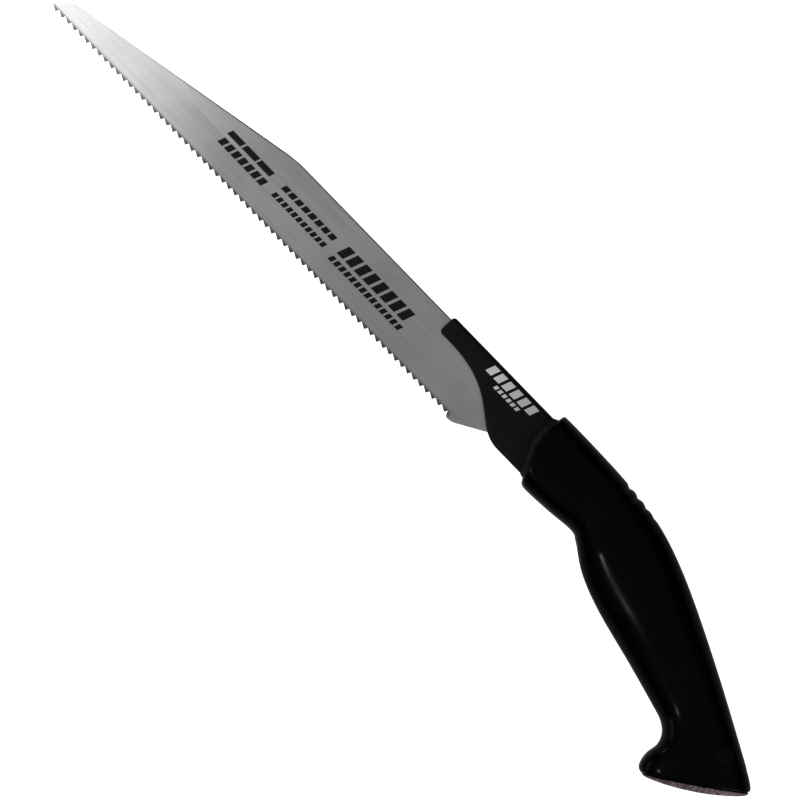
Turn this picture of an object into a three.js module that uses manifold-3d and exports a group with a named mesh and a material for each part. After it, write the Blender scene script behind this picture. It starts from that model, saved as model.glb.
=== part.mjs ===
// A pistol-grip drywall saw with a replaceable blade, lying on its side.
//
// Layout, in millimetres: x runs from the tip of the blade to the butt of the handle, y from the
// tips of the teeth towards the spine, and z across the blade, with 0 in the blade's mid plane.
// The last lines shift the whole saw so that its origin is at the centre of its footprint.
import * as THREE from "three";
import { mergeVertices } from "three/addons/utils/BufferGeometryUtils.js";
import Module from "manifold-3d";

const wasm = await Module();
wasm.setup();

// ---------------------------------------------------------------- driving dimensions

const GAP = 0.3; // clearance between pieces that touch
const THROUGH = 60; // length of a cutter that goes right through

// Blade
const TOOTH_COUNT = 64;
const TOOTH_PITCH = 3.75;
const TOOTH_DEPTH = 1.6;
const TOOTH_LEAN = 0.78; // where the tip sits within its pitch: the teeth cut on the pull
const TOOTH_EDGE = TOOTH_COUNT * TOOTH_PITCH;
const BLADE_THICKNESS = 0.9;
const SPINE_Y = 29.4;
const TIP_NOSE = 2.4; // height of the blunt nose at the tip
const TIP_CORNER = [6.2, 8.1]; // where the tip's chamfer meets the tapered spine
const TAPER_END = [112, 28.0]; // where the tapered spine starts to bend
const SPINE_START = 124; // from here the spine runs level
const HEEL_DROP = 1.0; // the heel stands this far below the tips of the teeth
const HEEL_TOP = [257, 6.5]; // where the heel's slanting edge passes under the holder
const TANG = { end: 275, bottom: 8, hookTop: 24 }; // the blade's own tang, inside the holder

// Holder: one strip of sheet folded over the spine
const SHEET = 1.2;
const SLOT = BLADE_THICKNESS + 2 * GAP;
const HOLDER_FRONT = 213.3;
const HOLDER_TOP = 31.2;
const FINGER_BOTTOM = 22.3;
const HOLDER_BOTTOM = 5.1;
const CORNER_RADIUS = 1.8;
const SWEEP = { start: 220, full: 250, turn: 252, end: 266 }; // the lower edge's S-curve, along x
const SHOULDER = { bottom: 284, top: 290, run: 6 }; // where the holder narrows to its tang
const HOLDER_TANG = { bottom: 9, top: 26, end: 334 };
const POCKET_START = 260; // the core's room for the holder starts in front of its rim
const HOOK_PIN = { x: 268, y: 16.5, radius: 2.0, seat: 0.8 };
const TANG_PIN = { y: 17.5, radius: 2.2, reach: 10 };
const TANG_PIN_X = { tang_pin_front: 297, tang_pin_rear: 322 };
const PACKING_START = 281;

// Handle: outer profile, as its top and its bottom edge from the mouth to the butt
const TOP_EDGE = [
  [275.8, 34.6],
  [278.5, 35.3],
  [298, 35.2],
  [316, 34.5],
  [334, 32.4],
  [350.5, 28.0],
  [371, 19.7],
  [401, 5.3],
  [431.6, -10.6],
  [437.5, -13.9],
  [441.6, -16.3],
  [444.2, -18.4],
  [444.9, -21],
];
const BOTTOM_EDGE = [
  [283.6, 2.2],
  [287.5, 1.7],
  [300, 2.5],
  [312.5, 3.7],
  [317.5, 1.7],
  [329, -5.7],
  [345, -11.7],
  [371, -18.1],
  [390, -23.1],
  [396.4, -25.1],
  [400.9, -28.4],
  [403, -33.2],
  [402.4, -38.4],
  [402.9, -42.6],
  [404.6, -45.7],
  [408.3, -46.8],
];
// Half-width of the handle, and the flat share of its sides, along its length
const SWELL = [
  { at: 0, half: 14, flat: 0.5 },
  { at: 0.09, half: 14, flat: 0.5 },
  { at: 0.2, half: 13.4, flat: 0.4 },
  { at: 0.32, half: 12, flat: 0.1 },
  { at: 0.52, half: 13.4, flat: 0.1 },
  { at: 0.76, half: 12.2, flat: 0.15 },
  { at: 0.9, half: 13.45, flat: 0.4 },
  { at: 1, half: 12.8, flat: 0.4 },
];
const RINGS = 34; // rings along the whole handle
const CORNER_STEPS = 5; // steps round each of a ring's four corners
const EDGE_FLAT = 0.2; // flat share of the narrow edges
const MOUTH_BOW = 2.6; // how far the mouth bulges forward
const SEAT_BOW = 0.4; // how far the cover's rear end and the butt cap's seat bulge backward
const BUTT_BOW = 2.2; // how far the outside of the butt cap does
const BOW_REACH = 0.12; // share of the length over which a bow fades out
const COVER_WALL = 2.0;
const CORE_WALL = 3.2;
const RIM = -0.012; // the core stands out of the mouth by this share of the length
const COVER_END = 0.9915; // the butt cap takes the rest of the length
const CAP_START = 0.9935;
const BUTT_RINGS = [0.982, COVER_END]; // closer rings where the outline turns in to the butt
// The butt cap's rings: how far they are along its thickness, and how far they are drawn in
const CAP_RINGS = [
  { along: 0, draw: 0 },
  { along: 0.6, draw: 0 },
  { along: 0.85, draw: 0.4 },
  { along: 1, draw: 1 },
  { along: 1, draw: 5 },
  { along: 1, draw: 9 },
];
const HOLLOW = [0.36, 0.88];
const THUMB_GROOVES = { first: 0.226, pitch: 0.0305, count: 4, radius: 2.2, depth: 0.6 };
const WINDOW = { x: 425.8, y: -16.2, radius: 4.6 };
const WINDOW_REACH = 0.8; // the window lies between this share of the length and the cover's end
const WINDOW_SINK = 0.2; // the core's boss stays this far below the cover's surface
const BOSS_START = 8; // the window bosses start this far out from the mid plane
const CAP_SCREW = { head: 3.6, headDepth: 2.2, shank: 1.9, tip: 1.14, length: 17, sink: 0.6 };
const LIP = 1.2; // rounding of the cover's ends

// ---------------------------------------------------------------- helpers

function solidOf(geometry) {
  const bare = geometry.clone();
  bare.deleteAttribute("normal");
  bare.deleteAttribute("uv");
  const merged = mergeVertices(bare, 1e-4);
  return new wasm.Manifold(
    new wasm.Mesh({
      numProp: 3,
      vertProperties: new Float32Array(merged.attributes.position.array),
      triVerts: new Uint32Array(merged.index.array),
    }),
  );
}

function geometryOf(solid) {
  const { vertProperties, triVerts } = solid.getMesh();
  const geometry = new THREE.BufferGeometry();
  geometry.setAttribute("position", new THREE.BufferAttribute(vertProperties, 3));
  geometry.setIndex(new THREE.BufferAttribute(triVerts, 1));
  geometry.computeVertexNormals();
  return geometry;
}

// A flat plate of the shape's outline, centred on z = 0.
function plate(shape, thickness, curveSegments = 8) {
  const options = { depth: thickness, bevelEnabled: false, curveSegments };
  return solidOf(new THREE.ExtrudeGeometry(shape, options).translate(0, 0, -thickness / 2));
}

// A round rod along z, from its lower to its upper end.
function rod(x, y, radius, low, high, sides = 24) {
  const geometry = new THREE.CylinderGeometry(radius, radius, high - low, sides);
  return solidOf(geometry.rotateX(Math.PI / 2).translate(x, y, (low + high) / 2));
}

function polygon(points) {
  return new THREE.Shape(points.map(([x, y]) => new THREE.Vector2(x, y)));
}

function halfSpace(side) {
  const size = 600;
  const box = new THREE.BoxGeometry(size, size, size);
  return solidOf(box.translate(size / 2, 0, side * (size / 2 + GAP / 2)));
}

// ---------------------------------------------------------------- blade

function bladeShape() {
  const shape = new THREE.Shape();
  shape.moveTo(0, TOOTH_DEPTH);
  for (let tooth = 0; tooth < TOOTH_COUNT; tooth++) {
    shape.lineTo((tooth + TOOTH_LEAN) * TOOTH_PITCH, 0);
    shape.lineTo((tooth + 1) * TOOTH_PITCH, TOOTH_DEPTH);
  }
  shape.quadraticCurveTo(TOOTH_EDGE + 0.6, -HEEL_DROP, TOOTH_EDGE + 2, -HEEL_DROP);
  shape.quadraticCurveTo(TOOTH_EDGE + 4, -HEEL_DROP, TOOTH_EDGE + 6, 0.1);
  shape.lineTo(...HEEL_TOP);
  shape.lineTo(HEEL_TOP[0] + 2.5, TANG.bottom);
  shape.lineTo(TANG.end - 3, TANG.bottom);
  shape.quadraticCurveTo(TANG.end, TANG.bottom, TANG.end, TANG.bottom + 3);
  hookNotch(shape);
  shape.quadraticCurveTo(HOOK_PIN.x - 3, SPINE_Y, HOOK_PIN.x - 6, SPINE_Y);
  shape.lineTo(SPINE_START, SPINE_Y);
  shape.quadraticCurveTo(SPINE_START - 5, SPINE_Y, ...TAPER_END);
  shape.lineTo(...TIP_CORNER);
  shape.lineTo(0, TIP_NOSE);
  return shape;
}

// The notch that hooks over the holder's pin, open towards the spine.
function hookNotch(shape) {
  const width = HOOK_PIN.radius + GAP;
  const top = TANG.hookTop;
  shape.lineTo(TANG.end, top - 2);
  shape.lineTo(TANG.end - 2, top);
  shape.lineTo(HOOK_PIN.x + width, top);
  shape.lineTo(HOOK_PIN.x + width, HOOK_PIN.y);
  shape.absarc(HOOK_PIN.x, HOOK_PIN.y, width, 0, Math.PI, true);
  shape.lineTo(HOOK_PIN.x - width, top);
}

function makeBlade() {
  return plate(bladeShape(), BLADE_THICKNESS);
}

// ---------------------------------------------------------------- holder

function holderShape() {
  const { bottom, top, end } = HOLDER_TANG;
  const r = CORNER_RADIUS;
  const shape = new THREE.Shape();
  shape.moveTo(HOLDER_FRONT, FINGER_BOTTOM + r);
  shape.quadraticCurveTo(HOLDER_FRONT, FINGER_BOTTOM, HOLDER_FRONT + r, FINGER_BOTTOM);
  shape.lineTo(SWEEP.start, FINGER_BOTTOM);
  shape.bezierCurveTo(
    SWEEP.full, FINGER_BOTTOM, SWEEP.turn, HOLDER_BOTTOM, SWEEP.end, HOLDER_BOTTOM,
  );
  shape.lineTo(SHOULDER.bottom, HOLDER_BOTTOM);
  shape.lineTo(SHOULDER.bottom + SHOULDER.run, bottom);
  shape.lineTo(end - r, bottom);
  shape.lineTo(end, bottom + r);
  shape.lineTo(end, top - r);
  shape.lineTo(end - r, top);
  shape.lineTo(SHOULDER.top + SHOULDER.run, top);
  shape.lineTo(SHOULDER.top, HOLDER_TOP);
  shape.lineTo(HOLDER_FRONT + r, HOLDER_TOP);
  shape.quadraticCurveTo(HOLDER_FRONT, HOLDER_TOP, HOLDER_FRONT, HOLDER_TOP - r);
  return shape;
}

// The strip's cross-section: two cheeks joined by a round fold along the top.
function foldedStrip() {
  const outer = SLOT / 2 + SHEET;
  const inner = SLOT / 2;
  const bend = HOLDER_TOP - outer;
  const shape = new THREE.Shape();
  shape.moveTo(outer, 0);
  shape.lineTo(outer, bend);
  shape.absarc(0, bend, outer, 0, Math.PI, false);
  shape.lineTo(-outer, 0);
  shape.lineTo(-inner, 0);
  shape.lineTo(-inner, bend);
  shape.absarc(0, bend, inner, Math.PI, 0, true);
  shape.lineTo(inner, 0);
  const length = HOLDER_TANG.end - HOLDER_FRONT + 2;
  const options = { depth: length, bevelEnabled: false, curveSegments: 12 };
  const strip = new THREE.ExtrudeGeometry(shape, options).rotateY(Math.PI / 2);
  return solidOf(strip.translate(HOLDER_FRONT - 1, 0, 0));
}

function makeHolder() {
  let holder = foldedStrip().intersect(plate(holderShape(), THROUGH, 14));
  for (const x of Object.values(TANG_PIN_X))
    holder = holder.subtract(rod(x, TANG_PIN.y, TANG_PIN.radius + GAP, -THROUGH, THROUGH));
  const seat = SLOT / 2 + HOOK_PIN.seat;
  return holder.subtract(rod(HOOK_PIN.x, HOOK_PIN.y, HOOK_PIN.radius + GAP, -seat, seat));
}

function makeHookPin() {
  const reach = SLOT / 2 + HOOK_PIN.seat - GAP;
  return rod(HOOK_PIN.x, HOOK_PIN.y, HOOK_PIN.radius, -reach, reach);
}

// The strip between the two leaves of the holder's tang, which keeps the slot open.
function makePacking() {
  const { bottom, top, end } = HOLDER_TANG;
  const outline = [
    [PACKING_START, bottom + 1],
    [end - 2, bottom + 1],
    [end - 2, top - 1],
    [PACKING_START, top - 1],
  ];
  let packing = plate(polygon(outline), BLADE_THICKNESS);
  for (const x of Object.values(TANG_PIN_X))
    packing = packing.subtract(rod(x, TANG_PIN.y, TANG_PIN.radius + GAP, -THROUGH, THROUGH));
  return packing;
}

function makeTangPin(x) {
  return rod(x, TANG_PIN.y, TANG_PIN.radius, -TANG_PIN.reach, TANG_PIN.reach);
}

// ---------------------------------------------------------------- handle

const curveThrough = (points) => new THREE.SplineCurve(points.map((p) => new THREE.Vector2(...p)));
const topEdge = curveThrough(TOP_EDGE);
const bottomEdge = curveThrough(BOTTOM_EDGE);

// A point at a share of an edge's length, which may lie beyond either of its ends.
function pointAlong(curve, share) {
  const inside = THREE.MathUtils.clamp(share, 0, 1);
  const beyond = (share - inside) * curve.getLength();
  return curve.getPointAt(inside).addScaledVector(curve.getTangentAt(inside), beyond);
}

function swellAt(share) {
  const t = THREE.MathUtils.clamp(share, 0, 1);
  const next = Math.max(1, SWELL.findIndex((knot) => knot.at >= t));
  const [a, b] = [SWELL[next - 1], SWELL[next]];
  const mix = THREE.MathUtils.smoothstep(t, a.at, b.at);
  return {
    half: THREE.MathUtils.lerp(a.half, b.half, mix),
    flat: THREE.MathUtils.lerp(a.flat, b.flat, mix),
  };
}

// How far the middle of a section is pushed along the handle, to bulge the mouth and the butt.
function bowAt(share) {
  if (share < 0.5) return -MOUTH_BOW * Math.max(0, 1 - share / BOW_REACH);
  if (share < CAP_START) return SEAT_BOW * Math.max(0, 1 - (CAP_START - share) / BOW_REACH);
  return THREE.MathUtils.mapLinear(share, CAP_START, 1, SEAT_BOW, BUTT_BOW);
}

// A rounded rectangle's corners in order round it, each turning from one side to the next.
const CORNERS = [
  { sideY: 1, sideZ: 1, from: 0, to: Math.PI / 2 },
  { sideY: 1, sideZ: -1, from: Math.PI / 2, to: 0 },
  { sideY: -1, sideZ: -1, from: 0, to: Math.PI / 2 },
  { sideY: -1, sideZ: 1, from: Math.PI / 2, to: 0 },
];

// One ring of the handle, drawn in from the outer surface by the inset.
function ring(share, inset) {
  const top = pointAlong(topEdge, share);
  const bottom = pointAlong(bottomEdge, share);
  const across = top.clone().sub(bottom);
  const reach = across.length() / 2;
  const middle = top.clone().add(bottom).multiplyScalar(0.5);
  across.normalize();
  const back = new THREE.Vector2(across.y, -across.x);
  const { half, flat } = swellAt(share);
  const points = [];
  for (const { sideY, sideZ, from, to } of CORNERS)
    for (let i = 0; i <= CORNER_STEPS; i++) {
      const angle = THREE.MathUtils.lerp(from, to, i / CORNER_STEPS);
      const y = sideY * (reach - inset) * (flat + (1 - flat) * Math.sin(angle));
      const z = sideZ * (half - inset) * (EDGE_FLAT + (1 - EDGE_FLAT) * Math.cos(angle));
      const shift = bowAt(share) * (1 - (y / reach) ** 2);
      const p = middle.clone().addScaledVector(across, y).addScaledVector(back, shift);
      points.push(new THREE.Vector3(p.x, p.y, z));
    }
  return points;
}

// A closed solid through a run of rings, with a fan over each end.
function loft(rings) {
  const size = rings[0].length;
  const position = [];
  const index = [];
  for (const points of rings) for (const p of points) position.push(p.x, p.y, p.z);
  for (let r = 0; r + 1 < rings.length; r++)
    for (let i = 0; i < size; i++) {
      const [a, b] = [r * size + i, r * size + ((i + 1) % size)];
      index.push(a, b + size, b, a, a + size, b + size);
    }
  for (const end of [0, rings.length - 1]) {
    const centre = new THREE.Vector3();
    rings[end].forEach((p) => centre.addScaledVector(p, 1 / size));
    const middle = position.push(centre.x, centre.y, centre.z) / 3 - 1;
    for (let i = 0; i < size; i++) {
      const [a, b] = [end * size + i, end * size + ((i + 1) % size)];
      index.push(middle, ...(end === 0 ? [a, b] : [b, a]));
    }
  }
  const geometry = new THREE.BufferGeometry();
  geometry.setAttribute("position", new THREE.Float32BufferAttribute(position, 3));
  geometry.setIndex(index);
  return solidOf(geometry);
}

// The shares of the length at which rings stand between two others. Every body uses the same ones,
// so that nested bodies stay parallel.
function sharesBetween(from, to) {
  const closest = 0.002;
  const even = Array.from({ length: RINGS + 1 }, (_, i) => i / RINGS);
  const shares = [...even, ...BUTT_RINGS].sort((a, b) => a - b);
  return shares.filter((share) => share > from + closest && share < to - closest);
}

// The handle's body between two shares of its length, drawn in by the inset.
function body(from, to, inset) {
  const shares = [from, ...sharesBetween(from, to), to];
  return loft(shares.map((share) => ring(share, inset)));
}

// The outer surface between two shares, with the edges of both ends rounded off.
function lippedBody(from, to, lip) {
  const step = lip / topEdge.getLength();
  const rounding = [
    { back: 0, draw: lip },
    { back: 0.35, draw: 0.3 * lip },
    { back: 1, draw: 0 },
  ];
  const front = rounding.map(({ back, draw }) => ring(from + back * step, draw));
  const rear = rounding.map(({ back, draw }) => ring(to - back * step, draw)).reverse();
  const between = sharesBetween(from + step, to - step).map((share) => ring(share, 0));
  return loft([...front, ...between, ...rear]);
}

function makeCover() {
  const beyond = 0.05;
  let cover = lippedBody(0, COVER_END, LIP);
  cover = cover.subtract(body(-beyond, 1 + beyond, COVER_WALL));
  const { first, pitch, count, radius, depth } = THUMB_GROOVES;
  for (let i = 0; i < count; i++) {
    const p = topEdge.getPointAt(first + i * pitch);
    const tangent = topEdge.getTangentAt(first + i * pitch);
    const out = radius - depth;
    const [x, y] = [p.x - tangent.y * out, p.y + tangent.x * out];
    cover = cover.subtract(rod(x, y, radius, -THROUGH, THROUGH, 20));
  }
  return cover.subtract(rod(WINDOW.x, WINDOW.y, WINDOW.radius, -THROUGH, THROUGH));
}

// Room in the core for the holder and its tang.
function holderPocket() {
  const { bottom, top, end } = HOLDER_TANG;
  const outline = [
    [POCKET_START, HOLDER_BOTTOM - GAP],
    [SHOULDER.bottom + GAP, HOLDER_BOTTOM - GAP],
    [SHOULDER.bottom + SHOULDER.run + GAP, bottom - GAP],
    [end + GAP, bottom - GAP],
    [end + GAP, top + GAP],
    [SHOULDER.top + SHOULDER.run + GAP, top + GAP],
    [SHOULDER.top + GAP, HOLDER_TOP + GAP],
    [POCKET_START, HOLDER_TOP + GAP],
  ];
  return plate(polygon(outline), SLOT + 2 * SHEET + 2 * GAP);
}

function makeCoreHalf(side) {
  const inset = COVER_WALL + GAP;
  let core = body(RIM, COVER_END, inset).intersect(halfSpace(side));
  core = core.subtract(holderPocket());
  core = core.subtract(body(...HOLLOW, inset + CORE_WALL));
  for (const x of Object.values(TANG_PIN_X))
    core = core.subtract(rod(x, TANG_PIN.y, TANG_PIN.radius + GAP, -THROUGH, THROUGH));
  core = core.add(windowBoss(side));
  return core.subtract(capScrew(GAP));
}

// The round boss on a core half that fills the window in the cover, flush with its surface.
function windowBoss(side) {
  const inner = side * BOSS_START;
  const outer = side * THROUGH;
  const [low, high] = [Math.min(inner, outer), Math.max(inner, outer)];
  const boss = rod(WINDOW.x, WINDOW.y, WINDOW.radius - GAP, low, high);
  return boss.intersect(body(WINDOW_REACH, COVER_END, WINDOW_SINK));
}

function makeButtCap() {
  const place = (along) => THREE.MathUtils.lerp(CAP_START, 1, along);
  const rings = CAP_RINGS.map(({ along, draw }) => ring(place(along), draw));
  return loft(rings).subtract(capScrew(GAP));
}

// The countersunk screw that holds the butt cap, or with a clearance, the hole for it.
function capScrew(clearance) {
  const { head, headDepth, shank, tip, length, sink } = CAP_SCREW;
  const above = clearance ? [[head + clearance, 8], [0, 8]] : [[0, 0]];
  const profile = [
    [0, -length - clearance],
    [tip + clearance, -length - clearance],
    [shank + clearance, -length + 2 - clearance],
    [shank + clearance, -headDepth - clearance / 2],
    [head + clearance, -clearance / 2],
    ...above,
  ];
  const points = profile.map(([x, y]) => new THREE.Vector2(x, y));
  const screw = new THREE.LatheGeometry(points, 20);
  const t = pointAlong(topEdge, 1);
  const b = pointAlong(bottomEdge, 1);
  const across = t.clone().sub(b).normalize();
  const back = new THREE.Vector2(across.y, -across.x);
  const seat = t.clone().add(b).multiplyScalar(0.5).addScaledVector(back, BUTT_BOW - sink);
  screw.rotateZ(Math.atan2(back.y, back.x) - Math.PI / 2);
  return solidOf(screw.translate(seat.x, seat.y, 0));
}

// ---------------------------------------------------------------- assembly

const steel = { color: 0x8b8d8f, roughness: 0.35, metalness: 1 };
const zincPlate = { color: 0xb4b6b8, roughness: 0.4, metalness: 1 };
const greyPaint = { color: 0x2b2c2e, roughness: 0.45, metalness: 0.2 };
const hardPlastic = { color: 0x4a3f40, roughness: 0.7, metalness: 0 };
const elastomer = { color: 0x0b0909, roughness: 0.4, metalness: 0 };

const pieces = [
  ["blade", makeBlade(), steel],
  ["blade_holder", makeHolder(), greyPaint],
  ["hook_pin", makeHookPin(), zincPlate],
  ["tang_packing", makePacking(), zincPlate],
  ["core_left", makeCoreHalf(1), hardPlastic],
  ["core_right", makeCoreHalf(-1), hardPlastic],
  ["grip_cover", makeCover(), elastomer],
  ["butt_cap", makeButtCap(), hardPlastic],
  ["butt_screw", capScrew(0), zincPlate],
];
for (const [name, x] of Object.entries(TANG_PIN_X)) pieces.push([name, makeTangPin(x), zincPlate]);

const saw = new THREE.Group();
for (const [name, solid, look] of pieces) {
  const mesh = new THREE.Mesh(geometryOf(solid), new THREE.MeshStandardMaterial(look));
  mesh.name = name;
  saw.add(mesh);
}

const bounds = new THREE.Box3().setFromObject(saw);
const centre = bounds.getCenter(new THREE.Vector3());
saw.position.set(-centre.x, -centre.y, -bounds.min.z);

export default saw;
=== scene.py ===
"""A pistol-grip drywall saw with a replaceable blade: its looks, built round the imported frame.

Lengths in this script are millimetres in the saw's own layout: x from the blade's tip to the butt,
y from the tips of the teeth towards the spine, z up from the blade's mid plane. place() turns
them into the frame's metres.
"""
import math

import bmesh
import bpy
import numpy as np
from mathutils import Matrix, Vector


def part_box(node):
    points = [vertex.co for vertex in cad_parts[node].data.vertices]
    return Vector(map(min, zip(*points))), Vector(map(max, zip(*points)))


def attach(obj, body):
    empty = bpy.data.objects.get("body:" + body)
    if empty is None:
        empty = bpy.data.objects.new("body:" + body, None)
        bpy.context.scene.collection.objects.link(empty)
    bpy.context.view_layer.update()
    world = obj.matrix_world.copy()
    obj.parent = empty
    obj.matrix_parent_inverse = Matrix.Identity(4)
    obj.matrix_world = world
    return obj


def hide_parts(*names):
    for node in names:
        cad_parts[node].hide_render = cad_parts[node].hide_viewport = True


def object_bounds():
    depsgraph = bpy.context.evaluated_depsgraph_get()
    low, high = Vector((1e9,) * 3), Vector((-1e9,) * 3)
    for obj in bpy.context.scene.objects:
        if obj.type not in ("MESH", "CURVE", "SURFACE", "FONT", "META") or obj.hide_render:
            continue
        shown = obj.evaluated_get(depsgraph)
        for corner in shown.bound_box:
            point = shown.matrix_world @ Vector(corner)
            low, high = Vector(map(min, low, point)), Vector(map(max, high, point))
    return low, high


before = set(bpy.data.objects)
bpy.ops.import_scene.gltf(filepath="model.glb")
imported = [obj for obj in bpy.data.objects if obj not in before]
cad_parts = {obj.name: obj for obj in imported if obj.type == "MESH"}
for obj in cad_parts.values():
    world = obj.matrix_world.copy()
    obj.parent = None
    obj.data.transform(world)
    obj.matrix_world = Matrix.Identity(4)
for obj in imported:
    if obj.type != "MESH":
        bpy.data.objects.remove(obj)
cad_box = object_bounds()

MM = 0.001
scene = bpy.context.scene

# ---------------------------------------------------------------- driving dimensions

TOOTH_COUNT = 64
TOOTH_PITCH = 3.75
TOOTH_DEPTH = 1.6
TOOTH_LEAN = 0.78  # where the tip sits within its pitch: the teeth cut on the pull
TOOTH_SET = 0.16  # how far each tip leans out of the blade's plane, to alternate sides
TOOTH_BEVEL = 0.42  # how far the filed facet runs up from the tip
BEVEL_SLANT = 0.25  # how far its upper end stands back, for each millimetre it runs up
TOOTH_EDGE = TOOTH_COUNT * TOOTH_PITCH
BLADE_HALF = 0.45
BLADE_CHAMFER = 0.12
SPINE_Y = 29.4
TIP_NOSE = 2.4
TIP_CORNER = (6.2, 8.1)
TAPER_END = (112.0, 28.0)
TAPER_RISE = (TAPER_END[1] - TIP_CORNER[1]) / (TAPER_END[0] - TIP_CORNER[0])
SPINE_START = 124.0
HEEL_DROP = 1.0
HEEL_TOP = (257.0, 6.5)
TANG_END = 275.0
TANG_BOTTOM = 8.0
HOOK = (268.0, 16.5)
HOOK_RADIUS = 2.3
HOOK_OPEN = 24.0

SHEET = 1.2
SLOT_HALF = 0.75
HOLDER_FRONT = 213.3
HOLDER_TOP = 31.2
HOLDER_CORNER = 1.8
FINGER_BOTTOM = 22.3
HOLDER_BOTTOM = 5.1
HOLDER_SWEEP = ((220.0, 22.3), (250.0, 22.3), (252.0, 5.1), (266.0, 5.1))
SHOULDER = (284.0, 290.0)  # where its lower and its upper edge start to run down to the tang
SHOULDER_RUN = 6.0
HOLDER_TANG = (9.0, 26.0, 334.0)  # bottom, top, end
SHEET_ROUNDING = 0.3
FRONT_INSET = 0.02  # how far the sheet's front face stands behind HOLDER_FRONT
POCKET_START = 262.0
SEAT_DEPTH = 0.8  # of the hook pin in each cheek
PIN_X = (297.0, 322.0)
PIN_Y = 17.5
PIN_HOLE = 2.5

TOP_EDGE = (
    (275.8, 34.6), (278.5, 35.3), (298, 35.2), (316, 34.5), (334, 32.4), (350.5, 28.0), (371, 19.7),
    (401, 5.3), (431.6, -10.6), (437.5, -13.9), (441.6, -16.3), (444.2, -18.4), (444.9, -21),
)
BOTTOM_EDGE = (
    (283.6, 2.2), (287.5, 1.7), (300, 2.5), (312.5, 3.7), (317.5, 1.7), (329, -5.7), (345, -11.7),
    (371, -18.1), (390, -23.1), (396.4, -25.1), (400.9, -28.4), (403, -33.2), (402.4, -38.4),
    (402.9, -42.6), (404.6, -45.7), (408.3, -46.8),
)
# The handle's thickness: share of the length, half-width, squareness of the section
SWELL = (
    (0.0, 14.0, 3.4), (0.09, 14.0, 3.2), (0.2, 13.4, 2.7), (0.32, 12.0, 2.2), (0.52, 13.4, 2.1),
    (0.76, 12.2, 2.3), (0.9, 13.45, 3.0), (1.0, 12.8, 3.2),
)
# Height within the mouth, from -1 at its lower to 1 at its upper corner, and its forward bulge
MOUTH_PROFILE = (
    (-1.0, 0.0), (-0.8, 0.7), (-0.6, 1.2), (-0.33, 2.1), (-0.05, 3.1), (0.12, 3.5), (0.53, 2.3),
    (0.85, 0.6), (1.0, 0.0),
)
SEAT_BOW = 0.4  # how far the cover's end bulges backward
BUTT_BOW = 2.2  # how far the butt does
COVER_WALL = 2.0
GAP = 0.3
CORE_WALL = 3.2
CORE_EASE = 0.25  # how much the core is drawn in at its very ends
COVER_LIP = 1.0
CAP_ROUNDING = 0.8
CAP_EASE = 0.3  # how much the cap is drawn in where it meets the cover

# Places along the handle, as shares of its length from the mouth
RIM = -0.012  # where the core starts, in front of the cover
COVER_END = 0.9915
CAP_START = 0.9935
CAP_STEP = 0.0008  # between the cap's first rings
HOLLOW = (0.36, 0.88)
BOSS_SKIN_START = 0.8
BOW_REACH = 0.12  # within which a bulge at either end fades out

GROOVE_X = (317.1, 322.7, 328.1, 333.5)
GROOVE_DEPTH = (0.75, 0.7, 0.6, 0.3)
GROOVE_WIDTH = 1.3
GROOVE_FADE = (0.6, 0.35)  # lift from which the grooves deepen, and over how much of it they do
WINDOW = (425.8, -16.2)
WINDOW_RADIUS = 4.6
BOSS_START = 8.0  # how far from the mid plane the boss in the window begins
BOSS_SINK = 0.15  # how far its face lies below the cover's
THROUGH = 20.0  # half-length of what cuts right through the holder or the cover
CORE_THROUGH = 30.0  # and of what cuts right through the core
HALF_SPACE = ((200.0, -100.0), (500.0, 100.0))  # an area that holds the whole core
# The butt's screw: radius and depth of its head, radius of its shank and point, length, and how far
# it sits below the crown of the cap
SCREW_HEAD = (3.6, 2.2)
SCREW_SHANK = 1.9
SCREW_POINT = 0.6 * SCREW_SHANK
SCREW_LENGTH = 17.0
SCREW_SINK = 0.6
# The driver recess at its floor and above its mouth: height, reach and half-thickness of a bar
RECESS = ((-1.6, 0.9, 0.28), (1.2, 2.1, 0.42))
SEAM_HEIGHT = 0.09
SEAM_ANGLE = 0.022  # a quarter of the mould seam's width, in radians round the section

# Rows of printed bars: start, number of bars, lower and upper edge of the row, pitch and width
BLADE_MARKS = (
    (159.0, 8, 14.2, 20.0, 5.2, 3.9), (158.0, 14, 9.8, 12.5, 3.1, 2.3),
    (123.0, 8, 16.3, 18.9, 4.0, 3.2), (122.0, 11, 11.3, 13.8, 2.9, 2.2),
    (90.5, 3, 16.2, 18.9, 8.8, 8.0), (90.0, 7, 10.9, 14.4, 3.9, 3.0),
)
HOLDER_MARKS = ((238.5, 6, 24.8, 29.2, 4.7, 3.5), (246.0, 6, 22.0, 23.8, 2.5, 1.8))

# The light tent's strength at its foot and overhead, and the heights between which it rises
TENT_STRENGTH = (0.03, 0.42)
TENT_RISE = (0.35, 0.92)
FLOOR_GLOW = (0.06, 0.97)  # what the floor gives the saw, and what the camera sees
CONTRAST = 0.8

# Area lights: name, place and target in metres, size and power. The first two fade the tip into the
# floor's white, the strip draws the streak along the handle, and the walls are the tent's sides.
LIGHTS = (
    ("tip_glow", (-0.33, 0.0, 0.20), (-0.22, 0.0, 0.0), (0.05, 0.05), 0.32),
    ("tip_panel", (-0.210, 0.014, 0.064), (-0.210, 0.014, 0.0), (0.11, 0.06), 0.019),
    ("strip", (-0.03, -0.42, 0.76), (0.104, 0.011, 0.0), (0.05, 0.03), 0.5),
    ("left_wall", (-0.9, -0.9, 0.45), (0.0, 0.0, 0.0), (0.9, 0.5), 2.5),
    ("butt_wall", (1.0, -0.4, 0.35), (0.2, 0.0, 0.0), (0.5, 0.4), 5.0),
)

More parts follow.
